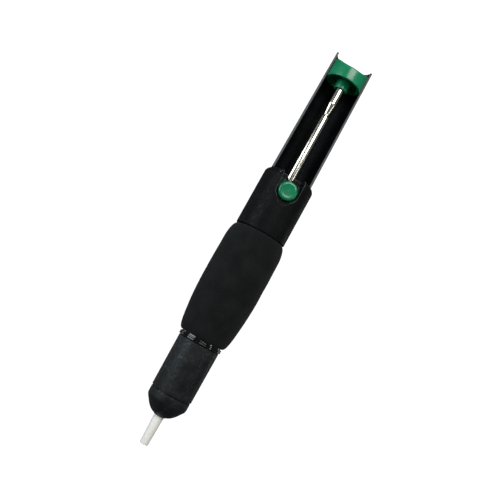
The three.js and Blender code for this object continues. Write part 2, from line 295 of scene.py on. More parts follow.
def greenPlastic():
    f = Finish("greenPlastic")
    clouds = f.lumps(7, detail=4)
    speck = f.between(f.lumps(0.18, detail=2), 0.66, 0.8)
    colour = f.mix(f.between(clouds, 0.3, 0.75), (0.001, 0.17, 0.07), (0.004, 0.23, 0.1))
    # Painted highlight mixed with wear: sharp edges and rims are painted a paler green.
    colour = f.mix(f.wornAndLitEdges(0.51, 0.56) * 0.5, colour, (0.06, 0.33, 0.2))
    button = f.nearButton()
    paintedCapShade = button * f.underCapShade() * (0.7 + 0.3 * f.between(f.lumps(1.2, detail=3), 0.35, 0.6))
    # Painted shade: the release button is darkened towards a deeper green.
    colour = f.mix(button * 0.3, colour, (0.0008, 0.1, 0.05))
    # Painted shade: the latch block below the button's cap is darkened to a near-black green, and made rougher.
    colour = f.mix(paintedCapShade, colour, (0.001, 0.013, 0.008))
    skin = f.bump(f.lumps(1.1, detail=3), 0.012)
    return f.shade(
        Base_Color=colour,
        Roughness=0.23 - 0.1 * button + 0.08 * clouds + 0.15 * speck + 0.7 * paintedCapShade,
        Normal=f.bump(f.lumps(0.16, detail=2), 0.002, skin),
        Subsurface_Weight=0.08,
        Subsurface_Radius=(0.3, 1.0, 0.5),
        Subsurface_Scale=0.0005,
        Specular_IOR_Level=0.42,
    )


def nozzlePlastic():
    f = Finish("nozzlePlastic")
    streaks = f.lumps(0.7, detail=4, stretch=(0.08, 1, 1))
    clouds = f.lumps(2.5, detail=3)
    colour = f.mix(f.between(streaks, 0.35, 0.7), (0.9, 0.86, 0.79), (0.965, 0.93, 0.87))
    colour = f.mix(f.between(clouds, 0.5, 0.85) * 0.35, colour, (0.7, 0.66, 0.58))
    return f.shade(
        Base_Color=colour,
        Roughness=0.38 + 0.2 * streaks,
        Normal=f.bump(streaks + 0.5 * clouds, 0.02),
        Subsurface_Weight=0.2,
        Subsurface_Radius=(1.0, 0.9, 0.75),
        Subsurface_Scale=0.0009,
    )


def metal(name, bright, dull, shine, grainStretch, depth):
    f = Finish(name)
    lines = f.lumps(0.12, detail=3, stretch=grainStretch)
    smears = f.lumps(3.5, detail=4)
    return f.shade(
        Base_Color=f.mix(f.between(smears, 0.35, 0.75), bright, dull),
        Metallic=1.0,
        Roughness=shine + 0.06 * lines + 0.08 * f.between(smears, 0.45, 0.8),
        Normal=f.bump(lines, depth),
    )


def sealRubber():
    f = Finish("sealRubber")
    film = f.lumps(1.5, detail=4)
    return f.shade(
        Base_Color=f.mix(f.between(film, 0.3, 0.7), (0.009, 0.009, 0.01), (0.02, 0.02, 0.021)),
        Roughness=0.35 + 0.3 * film,
        Normal=f.bump(f.lumps(0.25, detail=3), 0.012),
    )


def innerPlastic():
    f = Finish("innerPlastic")
    clouds = f.lumps(4, detail=4)
    turning = f.lumps(0.2, detail=2, stretch=(1, 0.05, 0.05))
    return f.shade(
        Base_Color=f.mix(f.between(clouds, 0.3, 0.7), (0.7, 0.68, 0.61), (0.78, 0.76, 0.7)),
        Roughness=0.35 + 0.15 * clouds,
        Normal=f.bump(turning, 0.006),
        Subsurface_Weight=0.15,
        Subsurface_Radius=(1.0, 0.9, 0.7),
        Subsurface_Scale=0.001,
    )


finishes = {
    "tip_plastic": nozzlePlastic(),
    "matte_black": grainedBlack("matteBlack", mouldedTexture),
    "satin_black": grainedBlack("satinBlack", smoothMoulding),
    "gloss_black": polishedBlack(),
    "grip_foam": gripFoam(),
    "green_plastic": greenPlastic(),
    "chrome_rod": metal("chromeRod", (0.69, 0.66, 0.57), (0.57, 0.54, 0.46), 0.1, (1, 0.06, 0.06), 0.0006),
    "spring_steel": metal("springSteel", (0.5, 0.51, 0.52), (0.36, 0.37, 0.38), 0.26, (1, 1, 1), 0.003),
    "seal_rubber": sealRubber(),
    "inner_plastic": innerPlastic(),
}
print("materials made")


def pieceFrom(name, mesh, nodes, body, sharpAngle=35):
    mesh.name = name
    mesh.validate()
    work = bmesh.new()
    work.from_mesh(mesh)
    bmesh.ops.recalc_face_normals(work, faces=work.faces)
    work.to_mesh(mesh)
    work.free()
    mesh.shade_smooth()
    mesh.set_sharp_from_angle(angle=math.radians(sharpAngle))
    piece = bpy.data.objects.new(name, mesh)
    bpy.context.scene.collection.objects.link(piece)
    slotName = next(s["material_slot"] for s in frame["record"]["subparts"] if s["node"] == nodes[0])
    mesh.materials.clear()
    mesh.materials.append(finishes[slotName])
    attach(piece, body)
    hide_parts(*nodes)
    return piece


# Rounds the corners of a closed outline, whose corners are (station, radius, how far the rounding reaches).
def rounded(corners, steps=5):
    points = []
    for i, corner in enumerate(corners):
        here = Vector(corner[:2])
        reach = corner[2] if len(corner) > 2 else 0
        if not reach:
            points.append(here)
            continue
        start = here + (Vector(corners[i - 1][:2]) - here).normalized() * reach
        end = here + (Vector(corners[(i + 1) % len(corners)][:2]) - here).normalized() * reach
        for step in range(steps + 1):
            t = step / steps
            points.append((1 - t) ** 2 * start + 2 * t * (1 - t) * here + t * t * end)
    return points


# A closed outline for each of many angles, joined into a ring-shaped or solid mesh about the pump's axis.
def spinOutlines(outlineAt, around):
    rings = [outlineAt(fullTurn * i / around) for i in range(around)]
    count = len(rings[0])
    vertices = []
    for i, outline in enumerate(rings):
        angle = fullTurn * i / around
        vertices += [at(x, r * math.sin(angle), r * math.cos(angle)) for x, r in outline]
    faces = []
    for i in range(around):
        here, there = i * count, (i + 1) % around * count
        for j in range(count):
            k = (j + 1) % count
            faces.append((here + j, here + k, there + k, there + j))
    mesh = bpy.data.meshes.new("spun")
    mesh.from_pydata(vertices, [], faces)
    work = bmesh.new()
    work.from_mesh(mesh)
    bmesh.ops.remove_doubles(work, verts=work.verts, dist=1e-3 * mm)
    bmesh.ops.dissolve_degenerate(work, edges=work.edges, dist=1e-4 * mm)
    work.to_mesh(mesh)
    work.free()
    return mesh


def spin(corners, around=160, steps=5):
    outline = rounded(corners, steps)
    return spinOutlines(lambda angle: outline, around)


def boxMesh(front, back, left, right, low, high):
    mesh = bpy.data.meshes.new("block")
    work = bmesh.new()
    size = at(back, right, high) - at(front, left, low)
    centre = (at(back, right, high) + at(front, left, low)) / 2
    bmesh.ops.create_cube(work, size=1, matrix=Matrix.Translation(centre) @ Matrix.Diagonal((*size, 1)))
    work.to_mesh(mesh)
    work.free()
    return mesh


# A prism from a closed list of corners, pushed along a vector.
def prismMesh(corners, push):
    mesh = bpy.data.meshes.new("prism")
    work = bmesh.new()
    face = work.faces.new([work.verts.new(corner) for corner in corners])
    pushed = bmesh.ops.extrude_face_region(work, geom=[face])
    moved = [item for item in pushed["geom"] if isinstance(item, bmesh.types.BMVert)]
    bmesh.ops.translate(work, verts=moved, vec=push)
    bmesh.ops.recalc_face_normals(work, faces=work.faces)
    work.to_mesh(mesh)
    work.free()
    return mesh


def applied(mesh, kind, **settings):
    holder = bpy.data.objects.new("holder", mesh)
    bpy.context.scene.collection.objects.link(holder)
    modifier = holder.modifiers.new(kind, kind)
    for name, value in settings.items():
        setattr(modifier, name, value)
    graph = bpy.context.evaluated_depsgraph_get()
    made = bpy.data.meshes.new_from_object(holder.evaluated_get(graph))
    bpy.data.objects.remove(holder)
    return made


def boolean(mesh, tool, operation="DIFFERENCE"):
    helper = bpy.data.objects.new("tool", tool)
    bpy.context.scene.collection.objects.link(helper)
    made = applied(mesh, "BOOLEAN", object=helper, operation=operation, solver="EXACT")
    bpy.data.objects.remove(helper)
    return made


# Small unevenness pushed along the normals, from noise with lumps about size millimetres across.
def uneven(mesh, size, height):
    normals = [normal.vector.copy() for normal in mesh.vertex_normals]
    for vertex, normal in zip(mesh.vertices, normals):
        vertex.co += normal * noise.noise(vertex.co / (size * mm)) * height * mm
    mesh.update()


def circlePoints(count, start=0.0, turn=fullTurn):
    return [(math.cos(start + turn * i / count), math.sin(start + turn * i / count)) for i in range(count)]


nozzle = {
    "tipRadius": 2.05,
    "noseRadius": 2.45,
    "noseStation": 14.1,
    "footStation": 17.3,
    "footRadius": 3.5,
    "bore": 1.2,
    "tipEdge": 0.25,
    "tipBoreEdge": 0.15,
    "neckEdge": 0.1,
    "footEdge": 0.2,
    "footBoreEdge": 0.3,
}


def makeNozzle():
    front, back = span("nozzle_tip")
    mesh = spin([
        (front, nozzle["bore"], nozzle["tipBoreEdge"]),
        (front, nozzle["tipRadius"], nozzle["tipEdge"]),
        (nozzle["noseStation"], nozzle["noseRadius"]),
        (nozzle["footStation"], nozzle["noseRadius"], nozzle["neckEdge"]),
        (nozzle["footStation"], nozzle["footRadius"], nozzle["footEdge"]),
        (back, nozzle["footRadius"], nozzle["footEdge"]),
        (back, nozzle["bore"], nozzle["footBoreEdge"]),
    ], around=96)
    return pieceFrom("nozzle", mesh, ["nozzle_tip"], "front_end")


nose = {
    "dome": [
        (14.6, 3.3), (15.2, 4.6), (16, 5.75), (17.5, 7.2),
        (19, 8.3), (20.1, 9.1), (20.9, 9.6), (21.8, 9.85),
    ],
    "domeSteps": 42,
    "lipRadius": 2.9,
    "radius": 9.85,
    "stepRadius": 9.05,
    "domeEnd": 25,
    "stepEnd": 25.5,
    "spigotRadius": 8.8,
    "sealFront": 28.4,
    "sealBack": 29.7,
    "sealRadius": 7.95,
    "boreRadius": 7.3,
    "boreFront": 23.3,
    "footRadius": 3.65,
    "footFront": 17.15,
    "clearance": 0.05,
    "stepEdge": 0.08,
    "sealEdge": 0.1,
    "domeEdge": 0.25,
    "spigotEdge": 0.3,
    "boreEdge": 0.4,
    "footEdge": 0.2,
}


# A smooth curve through points, with stations rising: each stretch also bends to its neighbours.
def curveThrough(points, count):
    made = []
    for i in range(count + 1):
        t = i / count * (len(points) - 1)
        k = min(int(t), len(points) - 2)
        t -= k
        a, b, c, d = (Vector(points[min(max(j, 0), len(points) - 1)]) for j in (k - 1, k, k + 1, k + 2))
        slope = (c - a) * t
        bend = (2 * a - 5 * b + 4 * c - d) * t ** 2
        twist = (3 * b - a - 3 * c + d) * t ** 3
        made.append(0.5 * (2 * b + slope + bend + twist))
    return made


def makeNoseCap():
    front, back = span("nose_cap")
    small = nose["sealEdge"]
    hole = nozzle["noseRadius"] + nose["clearance"]
    mesh = spin([
        (front, hole, nose["stepEdge"]),
        (front, nose["lipRadius"], small),
        *[tuple(point) for point in curveThrough(nose["dome"], nose["domeSteps"])],
        (nose["domeEnd"], nose["radius"], nose["domeEdge"]),
        (nose["domeEnd"], nose["stepRadius"], nose["stepEdge"]),
        (nose["stepEnd"], nose["stepRadius"], nose["stepEdge"]),
        (nose["stepEnd"], nose["spigotRadius"], small),
        (nose["sealFront"], nose["spigotRadius"], small),
        (nose["sealFront"], nose["sealRadius"], small),
        (nose["sealBack"], nose["sealRadius"], small),
        (nose["sealBack"], nose["spigotRadius"], small),
        (back, nose["spigotRadius"], nose["spigotEdge"]),
        (back, nose["boreRadius"], nose["spigotEdge"]),
        (nose["boreFront"], nose["boreRadius"], nose["boreEdge"]),
        (nose["boreFront"], nose["footRadius"], small),
        (nose["footFront"], nose["footRadius"], nose["footEdge"]),
        (nose["footFront"], hole),
    ])
    return pieceFrom("noseCap", mesh, ["nose_cap"], "front_end")


barrel = {"bore": 8.9, "frontRadius": 10.05, "edge": 0.35, "boreEdge": 0.2}


def makeFrontBarrel():
    front, back = span("front_barrel")
    radius = halfWidth("front_barrel")
    mesh = spin([
        (front, barrel["bore"], barrel["boreEdge"]),
        (front, barrel["frontRadius"], barrel["edge"]),
        (back, radius, barrel["edge"]),
        (back, barrel["bore"], barrel["boreEdge"]),
    ], around=192)
    return pieceFrom("frontBarrel", mesh, ["front_barrel"], "front_end")


seal = {"sides": 20, "around": 128}


def sealRing(name, node, body):
    front, back = span(node)
    middle, half = (front + back) / 2, (back - front) / 2
    centre = halfWidth(node) - half
    outline = [(middle + half * c, centre + half * s) for c, s in circlePoints(seal["sides"])]
    return pieceFrom(name, spinOutlines(lambda angle: outline, seal["around"]), [node], body, sharpAngle=60)


seat = {"hole": 2.2, "rim": 2.2, "recess": 0.3, "slope": 0.2, "edge": 0.25, "innerEdge": 0.2}


def makeSpringSeat():
    front, back = span("spring_seat")
    radius = halfWidth("spring_seat")
    recessed = back - seat["recess"]
    mesh = spin([
        (front, seat["hole"], seat["innerEdge"]),
        (front, radius, seat["edge"]),
        (back, radius, seat["edge"]),
        (back, radius - seat["rim"], seat["innerEdge"]),
        (recessed, radius - seat["rim"] - seat["slope"], seat["innerEdge"]),
        (recessed, seat["hole"], seat["innerEdge"]),
    ], around=96)
    return pieceFrom("springSeat", mesh, ["spring_seat"], "front_end")


makeNozzle()
makeNoseCap()
makeFrontBarrel()
makeSpringSeat()
sealRing("noseSeal", "nose_o_ring", "front_end")
sealRing("barrelSeal", "barrel_o_ring", "body")
sealRing("pistonSeal", "piston_o_ring", "piston_end")
print("front end made")


tube = {
    "bore": 7.4,
    "spigot": 8.8,
    "radius": 10,
    "sealFront": 46.4,
    "sealBack": 47.7,
    "sealRadius": 7.95,
    "sealEdge": 0.1,
    "spigotEdge": 0.35,
    "flangeFront": 51.5,
    "flangeBack": 53.1,
    "edge": 0.3,
    "flangeFoot": 0.15,
    "flangeGroove": 52.35,
    "grooveHalf": 0.15,
    "grooveDepth": 0.28,
    "grooveLip": 0.12,
    "grooveFoot": 0.06,
}


def makeMainTube():
    front, back = span("main_tube")
    flangeRadius = halfWidth("main_tube")
    mesh = spin([
        (front, tube["bore"], tube["edge"]),
        (front, tube["spigot"], tube["spigotEdge"]),
        (tube["sealFront"], tube["spigot"], tube["sealEdge"]),
        (tube["sealFront"], tube["sealRadius"], tube["sealEdge"]),
        (tube["sealBack"], tube["sealRadius"], tube["sealEdge"]),
        (tube["sealBack"], tube["spigot"], tube["sealEdge"]),
        (tube["flangeFront"], tube["spigot"], tube["flangeFoot"]),
        (tube["flangeFront"], flangeRadius, tube["edge"]),
        (tube["flangeGroove"] - tube["grooveHalf"], flangeRadius, tube["grooveLip"]),
        (tube["flangeGroove"], flangeRadius - tube["grooveDepth"], tube["grooveFoot"]),
        (tube["flangeGroove"] + tube["grooveHalf"], flangeRadius, tube["grooveLip"]),
        (tube["flangeBack"], flangeRadius, tube["edge"]),
        (tube["flangeBack"], tube["radius"], tube["flangeFoot"]),
        (back, tube["radius"], tube["edge"]),
        (back, tube["bore"], tube["edge"]),
    ], around=192)
    return pieceFrom("mainTube", mesh, ["main_tube"], "body")


grip = {
    "profile": [(53.8, 10.85), (54.9, 11.75), (58, 12.6), (66, 13.65), (78, 14.45), (87, 14.5), (96, 14.45),
                (103, 14.3), (107.4, 13.4), (109.2, 12.2)],
    "bore": 10.15,
    "rows": 150,
    "around": 256,
    "lump": 6,
    "lumpHeight": 0.09,
    "ripple": 1.3,
    "rippleHeight": 0.03,
}


def makeGrip():
    front, back = span("foam_grip")
    outer = curveThrough(grip["profile"], grip["rows"])
    outline = [Vector((front, grip["bore"])), *outer, Vector((back, grip["bore"]))]
    mesh = spinOutlines(lambda angle: outline, grip["around"])
    uneven(mesh, grip["lump"], grip["lumpHeight"])
    uneven(mesh, grip["ripple"], grip["rippleHeight"])
    piece = pieceFrom("foamGrip", mesh, ["foam_grip"], "body", sharpAngle=60)
    return piece


makeMainTube()
makeGrip()
print("tube and grip made")


housing = {
    "bore": 10.1,
    "rearBore": 10.9,
    "boreStep": 122.55,
    "shoulder": 137.4,
    "innerWall": 137.6,
    "hole": 2,
    "frontEdge": 0.6,
    "boreEdge": 0.2,
    "domeFoot": 7.3,
    "domeSteps": 16,
    "cutRadius": 5.65,
    "cutFloor": 1,
    "cutSteps": 40,
    "dishInner": 5.05,
    "dishRadius": 8.3,
    "dishDepth": 1.35,
    "dishAbove": 0.4,
    "slotClearance": 0.05,
    "slotAbove": 0.25,
    "voxel": 0.21,
    "smoothing": 5,
}
button = {
    "station": 131.9,
    "radius": 4.55,
    "bevel": 1.15,
    "foot": 5.6,
    "face": 12,
    "dish": 0.12,
    "dishRadius": 3.3,
    "dishPower": 3,
    "dishSteps": 16,
}
guard = {
    "collarEnd": 125.2,
    "wall": 1.0,
    "backWall": 0.9,
    "backRadius": 10.15,
    "edgeHeight": 0.5,
    "edgeRounding": 0.28,
    "sharpCorner": 50,
    "sliceEvery": 0.8,
}
farAside = 20
past = 1  # how far a cutting mesh reaches past what it cuts


# The rounded back of the housing, as a quarter of an ellipse.
def housingDome():
    rise = span("rear_housing")[1] - housing["shoulder"]
    drop = halfWidth("rear_housing") - housing["domeFoot"]
    angles = [math.pi / 2 * i / housing["domeSteps"] for i in range(housing["domeSteps"] + 1)]
    shoulder, foot = housing["shoulder"], housing["domeFoot"]
    return [(shoulder + rise * math.sin(a), foot + drop * math.cos(a)) for a in angles]


# The U of the cut-out, seen from above: half a circle round the button, and straight sides out to the back.
def cutOutOutline(radius, back):
    steps, floor = housing["cutSteps"], housing["cutFloor"]
    angles = [math.pi / 2 + math.pi * i / steps for i in range(steps + 1)]
    front = [at(button["station"] + radius * math.cos(a), radius * math.sin(a), floor) for a in angles]
    return [*front, at(back, -radius, floor), at(back, radius, floor)]


# The shallow cone that dishes the housing round the button.
def dishMesh(top):
    mesh = bpy.data.meshes.new("dish")
    middle = at(button["station"], 0, top - housing["dishDepth"] / 2)
    work = bmesh.new()
    bmesh.ops.create_cone(
        work,
        cap_ends=True,
        segments=96,
        radius1=housing["dishInner"] * mm,
        radius2=housing["dishRadius"] * mm,
        depth=housing["dishDepth"] * mm,
        matrix=Matrix.Translation(middle),
    )
    work.to_mesh(mesh)
    work.free()
    return mesh


# The half-round slot in the housing's back wall, through which the guard's tube comes out.
def guardSlot(back):
    radius = housing["rearBore"] + housing["slotClearance"]
    front = housing["innerWall"] - past / 2
    slot = spin([(front, 0), (front, radius), (back + past, radius), (back + past, 0)], around=192)
    bottom = guard["edgeHeight"] + housing["slotAbove"]
    upperHalf = boxMesh(front - past, back + 2 * past, -farAside, farAside, bottom, farAside)
    return boolean(slot, upperHalf)


def makeHousing():
    front, back = span("rear_housing")
    radius = halfWidth("rear_housing")
    shell = spin([
        (front, housing["bore"], housing["boreEdge"]),
        (front, radius, housing["frontEdge"]),
        *housingDome(),
        (back, housing["hole"]),
        (housing["innerWall"], housing["hole"]),
        (housing["innerWall"], housing["rearBore"]),
        (housing["boreStep"], housing["rearBore"]),
        (housing["boreStep"], housing["bore"]),
    ], around=192)
    cutOut = prismMesh(cutOutOutline(housing["cutRadius"], back + past), Vector((0, 0, farAside * mm)))
    mesh = boolean(shell, cutOut)
    mesh = boolean(mesh, dishMesh(radius + housing["dishAbove"]))
    mesh = boolean(mesh, guardSlot(back))
    mesh = applied(mesh, "REMESH", mode="VOXEL", voxel_size=housing["voxel"] * mm)
    mesh = applied(mesh, "SMOOTH", factor=0.5, iterations=housing["smoothing"])
    return pieceFrom("rearHousing", mesh, ["rear_housing"], "body", sharpAngle=80)


# Cuts a mesh across at every few mm, so that a value painted at its ends doesn't run along its length.
def sliced(mesh, front, back, apart):
    work = bmesh.new()
    work.from_mesh(mesh)
    for i in range(1, int((back - front) / apart)):
        everything = [*work.verts, *work.edges, *work.faces]
        cutAt = at(front + i * apart)
        bmesh.ops.bisect_plane(work, geom=everything, plane_co=cutAt, plane_no=(1, 0, 0))
    work.to_mesh(mesh)
    work.free()
    return mesh


def makeGuard():
    front, back = span("guard")
    outer = halfWidth("guard")
    housingBack = span("rear_housing")[1]
    mesh = spin([
        (front, outer - guard["wall"]),
        (front, outer),
        (housingBack, outer),
        (back, guard["backRadius"]),
        (back, guard["backRadius"] - guard["backWall"]),
        (housingBack, outer - guard["wall"]),
    ], around=256)
    upperHalf = boxMesh(guard["collarEnd"], back + past, -farAside, farAside, guard["edgeHeight"], farAside)
    mesh = boolean(mesh, upperHalf)
    corner = math.radians(guard["sharpCorner"])
    rounding = guard["edgeRounding"] * mm
    mesh = applied(mesh, "BEVEL", width=rounding, segments=4, limit_method="ANGLE", angle_limit=corner)
    mesh = sliced(mesh, front, back, guard["sliceEvery"])
    return pieceFrom("guardTube", mesh, ["guard"], "body")


bush = {
    "guideRadius": 7.3,
    "guideEnd": 122.5,
    "guideEdge": 0.3,
    "holeEdge": 0.2,
    "edge": 0.15,
    "clearance": 0.15,
}


def makeBush():
    front, back = span("rear_bush")
    radius = halfWidth("rear_bush")
    hole = halfWidth("plunger_rod") + bush["clearance"]
    mesh = spin([
        (front, hole, bush["holeEdge"]),
        (front, bush["guideRadius"], bush["guideEdge"]),
        (bush["guideEnd"], bush["guideRadius"]),
        (bush["guideEnd"], radius, bush["edge"]),
        (back, radius, bush["edge"]),
        (back, hole, bush["holeEdge"]),
    ], around=96)
    return pieceFrom("rodBush", mesh, ["rear_bush"], "body")


bumper = {"hole": 4.7, "edge": 0.3}


def makeBumper():
    front, back = span("bumper_washer")
    radius = halfWidth("bumper_washer")
    hole, edge = bumper["hole"], bumper["edge"]
    corners = [(front, hole, edge), (front, radius, edge), (back, radius, edge), (back, hole, edge)]
    mesh = spin(corners, around=96)
    return pieceFrom("bumper", mesh, ["bumper_washer"], "body")


makeHousing()
makeGuard()
makeBush()
makeBumper()
print("housing and guard made")


latch = {
    "front": 127.5,
    "halfWidth": 5.35,
    "baseHalfWidth": 6.8,
    "baseShorter": 0.1,
    "bottom": -4.4,
    "step": 5.2,
    "top": 6.6,
    "edge": 0.4,
    "toothFront": 130.3,
    "toothBack": 131.5,
    "passage": 2.8,
    "passageLow": -0.4,
    "passageHigh": 1.8,
    "toothHigh": 1.7,
    "toothClearance": 0.2,
    "pocketRadius": 2.4,
    "pocketDepth": 2,
    "pocketHeight": -4.6,
}


# The section of an upright slot with round ends.
def slotSection(station, radius, low, high):
    upper = [at(station, radius * c, high + radius * s) for c, s in circlePoints(24, 0, math.pi)]
    lower = [at(station, radius * c, low + radius * s) for c, s in circlePoints(24, math.pi, math.pi)]
    return [*upper, at(station, -radius, high), *lower, at(station, radius, low)]


# The round pocket under the latch block that holds the button's spring.
def springPocket():
    mesh = bpy.data.meshes.new("pocket")
    work = bmesh.new()
    bmesh.ops.create_cone(
        work,
        cap_ends=True,
        segments=48,
        radius1=latch["pocketRadius"] * mm,
        radius2=latch["pocketRadius"] * mm,
        depth=latch["pocketDepth"] * mm,
        matrix=Matrix.Translation(at(button["station"], 0, latch["pocketHeight"])),
    )
    work.to_mesh(mesh)
    work.free()
    return mesh


def makeButton():
    back = span("release_button")[1]
    edge = latch["edge"] * mm
    front = latch["front"]
    half, baseHalf = latch["halfWidth"], latch["baseHalfWidth"]
    neck = boxMesh(front, back, -half, half, 0, latch["top"])
    base = boxMesh(front, back - latch["baseShorter"], -baseHalf, baseHalf, latch["bottom"], latch["step"])
    neck = applied(neck, "BEVEL", width=edge, segments=4)
    base = applied(base, "BEVEL", width=edge, segments=4)
    mesh = boolean(neck, base, "UNION")
    mesh = boolean(mesh, buttonCap(), "UNION")
    wide, low, high = latch["passage"], latch["passageLow"], latch["passageHigh"]
    tight = halfWidth("plunger_rod") + latch["toothClearance"]
    passages = [
        (front - past, latch["toothFront"], wide, low, high),
        (latch["toothBack"], back + past, wide, low, high),
        (front - past, back + past, tight, 0, latch["toothHigh"]),
    ]
    for start, end, radius, bottom, top in passages:
        passage = prismMesh(slotSection(start, radius, bottom, top), Vector(((end - start) * mm, 0, 0)))
        mesh = boolean(mesh, passage)
    mesh = boolean(mesh, springPocket())
    return pieceFrom("releaseButton", mesh, ["release_button"], "button")


# Half the section of the button's cap as (height, radius): straight side, rounded rim and dished face.
def capOutline():
    foot, steps = button["foot"], button["dishSteps"]
    dish = []
    for i in range(steps + 1):
        out = 1 - i / steps
        deep = button["dish"] * (1 - out ** button["dishPower"])
        dish.append((button["face"] - deep, button["dishRadius"] * out))
    rim = (button["face"], button["radius"], button["bevel"])
    return rounded([(foot, 0), (foot, button["radius"]), rim, *dish], 8)


# The button's cap, spun about its own upright axis.
def buttonCap():
    outline = capOutline()
    count = len(outline)
    around = 96
    vertices, faces = [], []
    for c, s in circlePoints(around):
        vertices += [at(button["station"] + r * c, r * s, z) for z, r in outline]
    for i in range(around):
        for j in range(count):
            here, there, k = i * count, (i + 1) % around * count, (j + 1) % count
            faces.append((here + j, there + j, there + k, here + k))
    mesh = bpy.data.meshes.new("cap")
    mesh.from_pydata(vertices, [], faces)
    work = bmesh.new()
    work.from_mesh(mesh)
    bmesh.ops.remove_doubles(work, verts=work.verts, dist=1e-3 * mm)
    bmesh.ops.recalc_face_normals(work, faces=work.faces)
    work.to_mesh(mesh)
    work.free()
    return mesh


makeButton()
print("button made")


rodClearance = 0.1
piston = {
    "bossRadius": 5.2,
    "bossEnd": 102,
    "grooveFront": 105.7,
    "grooveBack": 107.6,
    "grooveRadius": 5.6,
    "grooveEdge": 0.15,
    "edge": 0.3,
    "rodEnd": 104.5,
    "rodHoleEdge": 0.2,
    "pinHole": 0.85,
    "pinHoleEdge": 0.1,
    "bossEdge": 0.5,
    "bossFoot": 0.2,
}


def makePiston():
    front, back = span("piston")
    radius = halfWidth("piston")
    hole = halfWidth("plunger_rod") + rodClearance
    mesh = spin([
        (front, piston["pinHole"], piston["pinHoleEdge"]),
        (front, piston["bossRadius"], piston["bossEdge"]),
        (piston["bossEnd"], piston["bossRadius"], piston["bossFoot"]),
        (piston["bossEnd"], radius, piston["edge"]),
        (piston["grooveFront"], radius, piston["grooveEdge"]),
        (piston["grooveFront"], piston["grooveRadius"], piston["grooveEdge"]),
        (piston["grooveBack"], piston["grooveRadius"], piston["grooveEdge"]),
        (piston["grooveBack"], radius, piston["grooveEdge"]),
        (back, radius, piston["edge"]),
        (back, hole, piston["rodHoleEdge"]),
        (piston["rodEnd"], hole),
        (piston["rodEnd"], piston["pinHole"]),
    ], around=128)
    return pieceFrom("pistonBody", mesh, ["piston"], "piston_end")


pin = {"point": 1.5, "pointEdge": 0.15, "shoulder": 0.4, "edge": 0.1}


def makePin():
    front, back = span("cleaning_pin")
    radius = halfWidth("cleaning_pin")
    mesh = spin([
        (front, 0),
        (front, radius / 2, pin["pointEdge"]),
        (front + pin["point"], radius, pin["shoulder"]),
        (back, radius, pin["edge"]),
        (back, 0),
    ], around=48)
    return pieceFrom("cleaningPin", mesh, ["cleaning_pin"], "piston_end")


rod = {
    "notch": 175,
    "notchEdge": 0.08,
    "neck": 1.45,
    "neckEdge": 0.15,
    "neckEnd": 176.5,
    "coneEnd": 181.9,
    "coneEdge": 0.5,
    "frontEdge": 0.4,
    "backEdge": 0.2,
}


def makeRod():
    front, back = span("plunger_rod")
    radius = halfWidth("plunger_rod")
    mesh = spin([
        (front, 0),
        (front, radius, rod["frontEdge"]),
        (rod["notch"], radius, rod["notchEdge"]),
        (rod["notch"], rod["neck"], rod["neckEdge"]),
        (rod["neckEnd"], rod["neck"], rod["coneEdge"]),
        (rod["coneEnd"], radius, rod["coneEdge"]),
        (back, radius, rod["backEdge"]),
        (back, 0),
    ], around=96)
    return pieceFrom("plungerRod", mesh, ["plunger_rod"], "plunger")


nut = {"halfAcross": 3.5, "edge": 0.2}


def makeNut():
    front, back = span("piston_nut")
    corner = nut["halfAcross"] / math.cos(math.pi / 6)
    hexagon = [at(front, corner * s, corner * c) for c, s in circlePoints(6)]
    mesh = prismMesh(hexagon, Vector(((back - front) * mm, 0, 0)))
    mesh = applied(mesh, "BEVEL", width=nut["edge"] * mm, segments=3)
    bore = halfWidth("plunger_rod") + rodClearance
    start, end = front - past, back + past
    hole = spin([(start, 0), (start, bore), (end, bore), (end, 0)], around=64)
    return pieceFrom("rodNut", boolean(mesh, hole), ["piston_nut"], "plunger")


knob = {
    "rim": 193.5,
    "sideEnd": 196.5,
    "holeEnd": 197.6,
    "floor": 197.9,
    "hubRadius": 3.3,
    "wall": 1.3,
    "dip": 199.9,
    "rise": 3.1,
    "power": 3.2,
    "rimRound": 0.45,
    "edgeRound": 0.5,
    "cornerRound": 0.5,
    "holeEdge": 0.2,
    "hubEdge": 0.35,
    "innerEdge": 0.3,
    "edgeSteps": 6,
    "rings": 18,
}


# The knob's thumb scoop is nearly flat in the middle and turns up to a horn at each side.
def scoop(side):
    return knob["dip"] + knob["rise"] * abs(side / halfWidth("plunger_knob")) ** knob["power"]


def knobOutline(angle):
    front = span("plunger_knob")[0]
    radius = halfWidth("plunger_knob")
    hole = halfWidth("plunger_rod") + rodClearance
    edge = knob["edgeRound"]
    inner = radius - knob["wall"]
    under = rounded([
        (knob["holeEnd"], 0),
        (knob["holeEnd"], hole),
        (front, hole, knob["holeEdge"]),
        (front, knob["hubRadius"], knob["hubEdge"]),
        (knob["floor"], knob["hubRadius"], knob["cornerRound"]),
        (knob["floor"], inner, knob["cornerRound"]),
        (knob["rim"], inner, knob["innerEdge"]),
        (knob["rim"], radius, knob["rimRound"]),
        (knob["sideEnd"], radius),
    ], 6)
    top = []
    for i in range(knob["edgeSteps"] + 1):
        u = math.pi / 2 * i / knob["edgeSteps"]
        r = radius - edge * (1 - math.cos(u))
        top.append(Vector((scoop(r * math.sin(angle)) - edge * (1 - math.sin(u)), r)))
    for i in range(1, knob["rings"] + 1):
        r = (radius - edge) * (1 - i / knob["rings"])
        top.append(Vector((scoop(r * math.sin(angle)), r)))
    return under + top


def makeKnob():
    mesh = spinOutlines(knobOutline, 192)
    return pieceFrom("plungerKnob", mesh, ["plunger_knob"], "plunger", sharpAngle=50)


makePiston()
makePin()
makeRod()
makeNut()
makeKnob()
print("piston and plunger made")


mainSpring = {"wire": 1.0, "turns": 14, "stepsPerTurn": 48, "sides": 12}
buttonSpring = {"wire": 0.45, "turns": 4, "stepsPerTurn": 40, "sides": 10}
endPitch = 1.15  # how far a spring's end turns climb, in thicknesses of its wire


